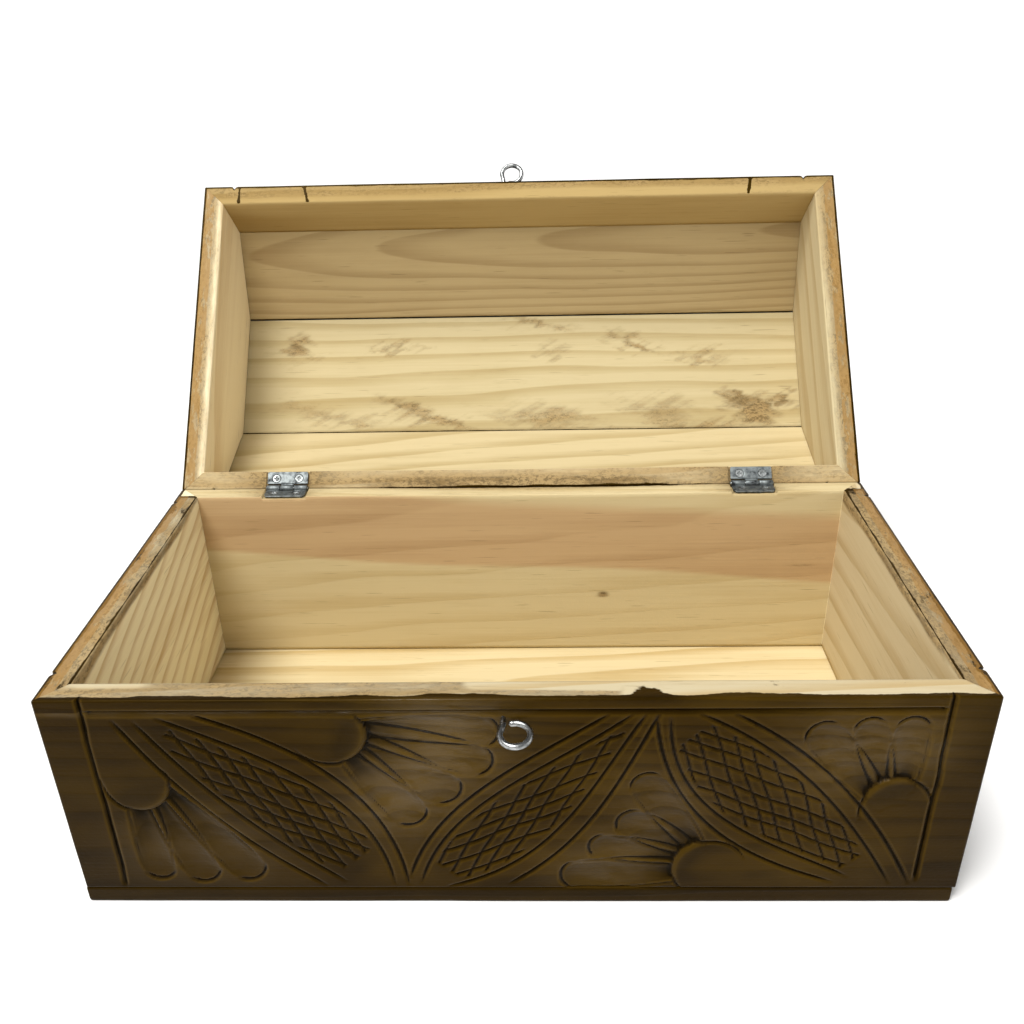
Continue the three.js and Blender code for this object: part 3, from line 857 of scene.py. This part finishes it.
bright_zinc = metal("eye_zinc", (0.5, 0.51, 0.51), (0.2, 0.21, 0.21), 0.24, 0.3)
eye_place = Matrix.Translation((case_eye_middle[0] - shank_side, -half_depth, wall_top - case_eye_middle[1]))
eye_place = eye_place @ Matrix.Rotation(droop, 4, "X")
joined("case_screw_eye", [eye_wire()], eye_place, bright_zinc, "case", "case_eye")


# ---- Hinges: case leaves and pins ----------------------------------------------------------------
# Two zinc-plated pressed-steel butt hinges, 18 mm wide. A leaf lies in a seat in the back rim with its
# outer two knuckles rolled round the pin, and is held by two small countersunk screws.

knuckle = 1.4  # radius
bore = 1.0  # radius
leaf_reach = 7.6  # pin's axis to the leaf's free edge
leaf_thick = 0.8
hinge_half = 9.0
pin_radius = 0.75
screw_back = 4.5  # screws in from the pin's axis
screw_step = 5.0  # each screw from the middle
head = 1.7  # radius
dish_margin = 0.28  # dish's rim past the head
shank_radius = 0.85
screw_length = 8.0
hinge_zinc = metal("hinge_zinc", (0.25, 0.275, 0.275), (0.14, 0.155, 0.16), 0.53, 1.3)
screw_zinc = metal("screw_zinc", (0.4, 0.42, 0.42), (0.2, 0.215, 0.215), 0.4, 2.1)


def plate(width, near, far, thick, corner, taper):
    """A pressed leaf as rings of points along its width: out over the top, then back along the bottom.
    Its free corners are cut by a taper and rounded, and two dishes are sunk in the top for the screws:
    each is a cone as deep as it is inside its rim, down to a flat."""
    soft, dish_deep = 0.12, 0.62
    x = width * np.sin(np.linspace(-math.pi / 2, math.pi / 2, 121))[:, None]
    from_end = width - np.abs(x)
    free = far - 1.4 * taper * np.clip(1 - from_end / taper, 0, 1) - rounded(from_end, corner)
    y = near + (free - near) * np.linspace(0, 1, 34)[None, :]
    from_screw = np.min([np.hypot(x - step, y - screw_back) for step in (-screw_step, screw_step)], 0)
    dish = np.clip(head + dish_margin - from_screw, 0, dish_deep)
    top = thick - dish - rounded(from_end, soft) - rounded(y - near, soft) - rounded(free - y, soft)
    ring_y = np.concatenate([y, free, near + 0 * x], 1)
    ring_z = np.concatenate([top, 0 * x, 0 * x], 1)
    return surface(np.stack([x + 0 * ring_y, -ring_y, ring_z], -1))


def sleeve(start, end):
    """A knuckle: a ring's section with rounded corners, carried round the pin's axis."""
    soft = 0.12
    r = np.array([bore, bore, knuckle - soft, knuckle, knuckle, knuckle - soft])
    x = np.array([end - soft, start + soft, start, start + soft, end - soft, end])
    turn = np.linspace(0, 2 * math.pi, 49)[:-1, None]
    rings = np.stack([x + 0 * turn, r * np.cos(turn), r * np.sin(turn)], -1)
    return surface(rings, caps=False, flip=True, round_again=True)


def leaf_shells(runs, sign):
    """A leaf and its knuckles about the pin's axis: the plate lies below it for the case, and above it
    for the lid, where sign is -1. A short tab joins each knuckle to the plate."""
    corners, faces = plate(hinge_half, 2.0, leaf_reach, leaf_thick, 0.6, 1.0 if sign > 0 else 0.3)
    level = corners[:, 2] - (pin_height - wall_top) - leaf_thick
    if sign < 0:
        faces = [face[::-1] for face in faces]
    shells = [(np.stack([corners[:, 0], corners[:, 1], sign * level], 1), faces)]
    tab_y, tab_z = np.array([[-2.4, -1.0, -1.0, -2.4], [-0.95, -0.95, -0.15, -0.15]])
    for start, end in runs:
        x = start + 0.05 + (end - start - 0.1) * np.linspace(0, 1, 7)[:, None]
        tab = np.stack([x + 0 * tab_y, tab_y + 0 * x, sign * tab_z + 0 * x], -1)
        shells += [surface(tab, flip=sign > 0), sleeve(start, end)]
    return shells


def cross_arm(x, y):
    """One arm of the cross recess: 1 along its middle, falling to 0 at its sides and its two ends."""
    return ramp(np.abs(x), 0.26, 0.14) * ramp(np.abs(y), 1.12, 0.82)


def screw(sign):
    """A countersunk screw: a shank with a point, and a head whose top is a flat disc pressed with a
    cross, as deep as the nearer of its two arms. Rows of points run up the shank and in over the head."""
    turn = np.linspace(0, 2 * math.pi, 72, endpoint=False) + 0.5
    height = np.array([-screw_length, -screw_length + 2.4, -leaf_thick - 0.1, -0.16, -0.05])
    side = [0.25, shank_radius, shank_radius, head - 0.05, head]
    radius = np.concatenate([side, np.linspace(head - 0.04, 0.06, 16)])[:, None]
    x, y = radius * np.cos(turn), radius * np.sin(turn)
    z = np.minimum(0.02 - 0.45 * np.maximum(cross_arm(x, y), cross_arm(y, x)), -0.01)
    z[:5] = height[:, None]
    return surface(np.stack([x, y, sign * z], -1), flip=sign < 0)


def pin():
    """The pin: a rod with its two ends' edges taken off, turned about the upright axis."""
    soft, half = 0.15, hinge_half + 0.4
    radius = np.array([pin_radius - soft, pin_radius, pin_radius, pin_radius - soft])[:, None]
    height = np.array([-half, -half + soft, half - soft, half])[:, None]
    turn = np.linspace(0, 2 * math.pi, 24, endpoint=False)
    return surface(np.stack([radius * np.cos(turn), radius * np.sin(turn), height + 0 * turn], -1))


def fit_hinges(body, turned, level, runs, sign):
    """Both hinges' leaf and screws on one body, whose rim lies at that level; the case has the pins."""
    for side, middle in zip(("left", "right"), hinge_middles):
        at_pin = turned @ Matrix.Translation((middle, pin_out, pin_height))
        joined(
            f"{side}_{body}_leaf", leaf_shells(runs, sign), at_pin,
            hinge_zinc, body, f"{side}_hinge_{body}_leaf",
        )
        if body == "case":
            lying = at_pin @ Matrix.Rotation(math.pi / 2, 4, "Y")
            joined(f"{side}_pin", [pin()], lying, screw_zinc, "case", f"{side}_hinge_pin")
        for letter, step in (("a", -screw_step), ("b", screw_step)):
            at_screw = turned @ Matrix.Translation((middle + step, pin_out - screw_back, level))
            joined(
                f"{side}_{body}_screw_{letter}", [screw(sign)], at_screw,
                screw_zinc, body, f"{side}_hinge_{body}_screw_{letter}",
            )


inner_run = hinge_half / 3
knuckle_gap = 0.15
outer_runs = [(-hinge_half, -inner_run - knuckle_gap), (inner_run + knuckle_gap, hinge_half)]
fit_hinges("case", Matrix.Identity(4), wall_top, outer_runs, 1)


# ---- Lid rails and ends --------------------------------------------------------------------------
# The lid's frame is four 9.5 mm pine boards mitred like the case. The front and back rails are low;
# the ends rise to the flat-topped arch that the slats are glued to. Only their outsides are stained.

rail_inside = 28.0  # height of the rails inside
hollow = 54.0  # height inside under the top slat
top_inside = 62.0  # width of the top slat inside
slope = math.atan2(hollow - rail_inside, half_depth - wall_thick - top_inside / 2)
rail_outside = rail_inside - wall_thick * math.tan(slope)
lid_rim = 2 * pin_height - wall_top
slope_gap = 0.3 / math.cos(slope)

to_axis = Matrix.Translation((0, pin_out, pin_height))
opened = to_axis @ Matrix.Rotation(-open_angle, 4, "X") @ to_axis.inverted()


def lid_rim_line(a, c):
    """The lid's rim: flat, with a little unevenness from the plane."""
    return lid_rim + 0.05 + wander(a, 71, 200, 0.04) + 0 * c


def rail_top(a, c):
    """A rail's top: a plane that rises inwards with the slope of the slats."""
    return lid_rim + rail_outside - slope_gap + c * math.tan(slope) + 0 * a


def arch(a, c):
    """The end board's top: level under the top slat, sloping down to the rails at both sides."""
    fall = np.clip(np.abs(a) - top_inside / 2, 0, None) * math.tan(slope)
    return lid_rim + hollow - slope_gap - fall + 0 * c


def carve_rail(a, b):
    """The rail's one upright border cut near each end, running up from the rim, and the line along it."""
    cuts = [planed(a, b, 72), lip(a, -b, -(lid_rim + 4.7), border - 1)]
    return np.maximum.reduce(cuts + borders(a, b, border, (lid_rim - 4,) * 2, lid_rim + 22, 73))


def lid_rim_stain(c):
    """Stain on the lid's rims: thin specks, and more at the outer edge, where the brush ran over."""
    return 0.26 + 0.5 * ramp(c, 1.76, 0.16)


def front_rail_cover(a, b, c, part):
    """Stained outside. The rim is grey-brown in specks with cream streaks, and stained across near
    both ends, where a wet edge once stood on it."""
    rim = lid_rim_stain(c)
    for at, wide in ((-102 + 0.25 * c, 0.8), (-133, 0.6), (111 - 0.2 * c, 0.7)):
        rim = rim + 0.5 * bell(a, at, wide)
    bare = spot(a, c, (-122, 9), (44, 2.2)) + spot(a, c, (-78, 9), (38.4, 2.4))
    bare = bare + spot(a, c, (6, 6.5), (39.6, 1.8)) + spot(a, c, (70, 7), (88, 2.2))
    smudge = np.where(part == 3, 0.6 - 0.55 * np.clip(bare, 0, 1), 0.1)
    return {"stain_cover": by_part(part, 1.0, 0.9, 0.0, rim), "smudge": smudge}


def back_rail_cover(a, b, c, part):
    """Stained outside; the rim brown by the hinges, darkly speckled on its outer half between them, and with
    a painted shadow along the gap to the case's rim.
    """
    x = -a
    # the rim's outer edge carries a painted shadow along the gap to the case's rim
    rim = 0.16 + 0.2 * near_hinges(x, 17) * (x > 0) + 0.4 * ramp(c, 2, 0) + gap_shadow(x, c)
    speckled = bell(x, 0, 60, 4) * ramp(c, 6.5, 4.5)
    smudge = np.where(part == 3, 0.62 + 0.8 * speckled + 0.5 * near_hinges(x, 17), 0)
    return {"stain_cover": by_part(part, 1.0, 0.9, 0.0, rim), "smudge": smudge}


def lid_end_cover(a, b, c, part):
    """Stained outside; the rim has varnish on its outer half and specks on its inner half."""
    smudge = np.where(part == 3, 0.85 - 0.3 * ramp(c, 6, 8), 0.05)
    varnish = np.where((part == 3) & (c < 0.6 * wall_thick), 0.57, 0.0)
    stain = by_part(part, 1.0, 0.9, 0.0, lid_rim_stain(c))
    return {"stain_cover": stain, "smudge": smudge, "varnish_cover": varnish}


def carve_end(a, b):
    """A border along the slopes and the sides, 9 mm in, and a bud with five petals in the middle."""
    rise = b - lid_rim
    gable = [(-66, 4), (-66, 20), (-30, 46), (30, 46), (66, 20), (66, 4)]
    fan = [((0, 20), (0, 42), 5.4), *mirrored(((7, 19), (21, 38), 5.4), ((9, 13), (40, 26), 5.4))]
    cuts = [planed(a, b, 75), flower(a, rise, (0, 12), (11.5, 10), (-10, 190), fan)]
    cuts += [v_cut(a, rise, np.array(line, float), 2.2, 1.3, 0.0) for line in zip(gable, gable[1:])]
    return np.maximum.reduce(cuts)


front_rail = board(
    "lid_front_rail_pine", stations(-wall_half, wall_half, 0.9, (-border, border)),
    lid_rim_line, rail_top, wall_thick, carve_rail, 1,
    opened @ wall_places["front"], front_rail_cover, (26, 8, 14, 16),
)
# The front rail's pine is given darker colours as painted shade, for its inner face, which lies in shade
# under the open lid.
pine = wood("lid_front_rail_shaded_pine", (0.42, 0.3, 0.125), (0.29, 0.185, 0.06), (0.09, 0.09), (0.02, 0.01), 0.011, 6)
finish(front_rail, pine, "lid", "lid_front_rail")

back_rail = board(
    "lid_back_rail_pine", stations(-wall_half, wall_half, 0.75, edges),
    lambda a, c: pin_height + hinged_edge(a, c), rail_top, wall_thick, carve_rail, 1,
    opened @ wall_places["back"], back_rail_cover, (26, 8, 14, 30),
)
pine = wood("lid_back_rail_pine", (0.62, 0.5, 0.29), (0.44, 0.3, 0.13), (0.1, 0.06), (0.02, 0.02), 0.011, 7)
finish(back_rail, pine, "lid", "lid_back_rail")

for side, sign, pith, pale in (
    ("left", -1, (0.13, 0.1), (0.88, 0.75, 0.49)),
    ("right", 1, (0.17, 0.05), (0.6, 0.51, 0.315)),
):
    end = board(
        f"lid_{side}_end_pine", stations(-side_half, side_half, 0.8),
        lambda a, c: np.maximum(lid_rim_line(a, c), 2 * pin_height - bevel_height(sign * a)), arch,
        wall_thick, carve_end, 1, opened @ wall_places[side], lid_end_cover, (80, 8, 40, 16),
    )
    dark = [v * w for v, w in zip(pale, (0.75, 0.65, 0.52))]
    pine = wood(f"lid_{side}_end_pine", pale, dark, pith, (0.06, 0.02), 0.012, 8 + sign)
    finish(end, pine, "lid", f"lid_{side}_end")


# ---- Lid slats -----------------------------------------------------------------------------------
# Three pine slats 9.5 mm thick, glued over the frame edge to edge and sawn flush at the ends. They
# are carved and stained outside and bare inside, where the top one is smudged by stained fingers.

slat_top = hollow + wall_thick
top_half = top_inside / 2 + wall_thick * math.tan(slope / 2)
eaves = slat_top - (half_depth - top_half) * math.tan(slope)
slope_length = (half_depth - top_half) / math.cos(slope)
joint_gap = 0.16
slat_half = half_width - 0.06
sawn_end = 1.2  # how far stain ran in from the slats' sawn ends
smudges = [  # along, across, half length, half width, strength
    (-114, -15, 9, 10, 0.95), (52, -19, 7, 8, 0.7), (60, -14, 15, 3.5, 0.95), (-57, 20, 16, 6, 0.9),
    (-40, 27, 20, 4.5, 0.85), (117, 22, 15, 11, 1.15), (112, 14, 12, 5, 1.0), (131, 15, 12, 4, 1.0),
    (92, -7.6, 20, 3.5, 0.65), (18, -11, 14, 3.5, 0.6), (-62, -13.5, 18, 2.5, 0.65), (70, 21, 26, 7, 0.7),
    (-95, 22, 30, 6, 0.65), (14, 25, 40, 7, 0.68), (6, -27, 18, 4, 0.7), (86, 30, 30, 4, 0.75),
]


def top_slat_cover(a, b, c, part):
    """Stained outside and on the sawn ends and edges; smudged inside, each smudge a soft spot whose
    outline is pushed about by slow and quick waviness."""
    stain = np.where((part == 2) & (np.abs(a) < half_width - sawn_end), 0.12, 1.0)
    rubs = 0.12 + 0 * a
    ragged_a = a + wander(a + 2.1 * b, 91, 46, 5) + wander(2 * b - a, 92, 17, 3)
    ragged_b = b + wander(b - 0.5 * a, 93, 38, 3) + wander(a + 1.7 * b, 94, 13, 1.7)
    for x, y, long, wide, strength in smudges:
        bent = ragged_b - 0.16 * (ragged_a - x)
        rubs = np.maximum(rubs, strength * spot(ragged_a, bent, (x, y), (long, wide)))
    return {"stain_cover": stain, "smudge": np.where(part == 2, rubs, 0)}


def slope_slat_cover(a, b, c, part):
    """Stained outside and on the sawn ends and edges, and faintly rubbed inside."""
    stain = np.where((part == 2) & (np.abs(a) < half_width - sawn_end), 0.1, 1.0)
    return {"stain_cover": stain, "smudge": 0.12 * (part == 2)}


def carve_top(a, b):
    """Two long leaves that lean opposite ways with a bud between them."""
    petals = [((0, 6), (0, 26), 5.5), ((0, -6), (0, -26), 5.5)]
    petals += [((-8, 0), (-26, 16), 5), ((8, 0), (26, -16), 5)]
    cuts = [planed(a, b, 81), flower(a, b, (0, 0), (9, 9), (0, 360), petals)]
    for flip in (-1, 1):
        outer = [((16, -26 * flip), (122, 26 * flip), 12 * hand, 0.1 * hand) for hand in (1, -1)]
        inner = [((22, -22 * flip), (116, 22 * flip), 9.5 * hand, 0.1 * hand) for hand in (1, -1)]
        cuts.append(leaf(flip * a, b, outer, inner, (10 * flip, 52 * flip), 3))
    return np.maximum.reduce(cuts)


def carve_slope(a, b):
    """Three buds along the slat, with petals that open upwards and lean outwards at the outer two."""
    cuts = [planed(a, b, 82)]
    for x, lean in ((-92, -6), (0, 0), (92, 6)):
        fan = [((0, 20), (lean, 45), 5.4), *mirrored(((8, 18), (27, 40), 5.6), ((10, 12), (42, 24), 5.2))]
        cuts.append(flower(a - x, b, (0, 11), (11.5, 9.5), (-10, 190), fan))
    return np.maximum.reduce(cuts)


top_slat = board(
    "lid_top_slat_pine", stations(-slat_half, slat_half, 0.75),
    lambda a, c: -top_half + joint_gap + c * math.tan(slope / 2) + 0 * a,
    lambda a, c: top_half - joint_gap - c * math.tan(slope / 2) + 0 * a,
    wall_thick, carve_top, 0, opened @ frame_of((1, 0, 0), (0, 1, 0), (0, 0, lid_rim + slat_top - inset)),
    top_slat_cover, (96, 6, 70, 6),
)
pine = wood(
    "top_slat_pine", (0.53, 0.445, 0.257), (0.37, 0.28, 0.124), (0.05, 0.1), (-0.05, 0.03), 0.0052, 10)
finish(top_slat, pine, "lid", "lid_top_slat")

for side, sign, pale, dark, pith, lean, pitch in (
    ("front", 1, (0.45, 0.34, 0.17), (0.31, 0.215, 0.098), (0.012, 0.024), (0.03, 0.05), 0.0044),
    ("back", -1, (0.58, 0.48, 0.276), (0.4, 0.3, 0.134), (0.06, 0.08), (0.04, 0.03), 0.005),
):
    up_slope = (0, sign * math.cos(slope), math.sin(slope))
    slat = board(
        f"lid_{side}_slat_pine", stations(-slat_half, slat_half, 0.75),
        lambda a, c: 0.06 - c * math.tan(slope) + 0 * a,
        lambda a, c: slope_length - joint_gap - c * math.tan(slope / 2) + 0 * a,
        wall_thick, carve_slope, 0,
        opened @ frame_of((sign, 0, 0), up_slope, (0, -sign * half_depth, lid_rim + eaves - inset)),
        slope_slat_cover, (76, 6, 60, 10),
    )
    pine = wood(f"{side}_slat_pine", pale, dark, pith, lean, pitch, 12 + sign)
    finish(slat, pine, "lid", f"lid_{side}_slat")


# ---- Lid hardware --------------------------------------------------------------------------------
# The lid's screw eye, and the lid leaves of the two hinges with their middle knuckle and two screws
# each. They are the same pressings as on the case.

lid_eye_middle = (-2.3, 5.0)  # right of the box's middle, and up from the rim when closed
lid_eye_place = (lid_eye_middle[0] - shank_side, -half_depth, lid_rim + lid_eye_middle[1])
lid_eye_place = opened @ Matrix.Translation(lid_eye_place)
joined("lid_screw_eye", [eye_wire()], lid_eye_place, bright_zinc, "lid", "lid_eye")
fit_hinges("lid", opened, lid_rim, [(-inner_run + knuckle_gap, inner_run - knuckle_gap)], -1)


# ---- Floor, light and camera ---------------------------------------------------------------------
# The box stands on a plain pale floor that is level round it and sweeps up far away all round. A high
# soft light comes from above and the left, and a smaller one in front of it puts the gloss on.

level_reach, far_reach = 2500, 14000
ring_radius = np.concatenate([[20], np.linspace(level_reach, far_reach, 24)])[:, None]
ring_angle = np.linspace(0, 2 * math.pi, 96, endpoint=False)
rise = np.clip(ring_radius - level_reach, 0, None) ** 2 / 13000 + 0 * ring_angle
floor_points = np.stack([ring_radius * np.cos(ring_angle), ring_radius * np.sin(ring_angle), rise], -1)
floor_corners, floor_faces = surface(floor_points, caps=False, flip=True)
floor_faces.append(list(range(len(ring_angle))))
studio_floor = new_piece("studio_floor", floor_corners, floor_faces, Matrix.Identity(4))
floor_paint, node = new_material("floor_paint")
paint = node("ShaderNodeBsdfPrincipled", {"Base Color": (0.93, 0.93, 0.93, 1), "Roughness": 0.8})
node("ShaderNodeOutputMaterial", {0: paint.outputs[0]})
studio_floor.data.materials.append(floor_paint)


def soft_light(name, place, aim, size, power, colour):
    """A square light that shines from its place towards its aim."""
    data = bpy.data.lights.new(name, "AREA")
    data.shape, data.size, data.energy, data.color = "SQUARE", size, power, colour
    lamp = bpy.data.objects.new(name, data)
    lamp.location = place
    lamp.rotation_euler = (Vector(aim) - Vector(place)).to_track_quat("-Z", "Y").to_euler()
    bpy.context.scene.collection.objects.link(lamp)


soft_light("top_light", (-0.35, -0.75, 1.25), (0, 0.03, 0.05), 0.5, 9, (1, 0.98, 0.95))
sky = bpy.data.lights.new("high_light", "SUN")
sky.energy, sky.angle, sky.color = 2.75, 0.42, (1, 0.99, 0.97)
high = bpy.data.objects.new("high_light", sky)
high.rotation_euler = Vector((-0.3, -0.24, 1)).to_track_quat("Z", "Y").to_euler()
bpy.context.scene.collection.objects.link(high)
world = bpy.data.worlds.new("studio_world")
bpy.context.scene.world = world
world.use_nodes = True
world.node_tree.nodes["Background"].inputs["Color"].default_value = (1, 1, 1, 1)
world.node_tree.nodes["Background"].inputs["Strength"].default_value = 0.16
bpy.context.scene.view_settings.view_transform = "Standard"

eye = bpy.data.cameras.new("camera")
eye.sensor_width, eye.lens, eye.clip_start = 36, 35.02, 0.01
camera = bpy.data.objects.new("camera", eye)
pitch, yaw, roll = (math.radians(v) for v in (-27.318, -1.851, -1.4445))
forward = Vector((math.sin(yaw) * math.cos(pitch), math.cos(yaw) * math.cos(pitch), math.sin(pitch)))
right = Vector((math.cos(yaw), -math.sin(yaw), 0))
up = right.cross(forward)
turned_right = right * math.cos(roll) + up * math.sin(roll)
turned_up = up * math.cos(roll) - right * math.sin(roll)
view = Matrix((turned_right, turned_up, -forward)).transposed().to_4x4()
view.translation = Vector((9.88, -321.36, 279.60)) * MM
camera.matrix_world = view
bpy.context.scene.collection.objects.link(camera)
bpy.context.scene.camera = camera
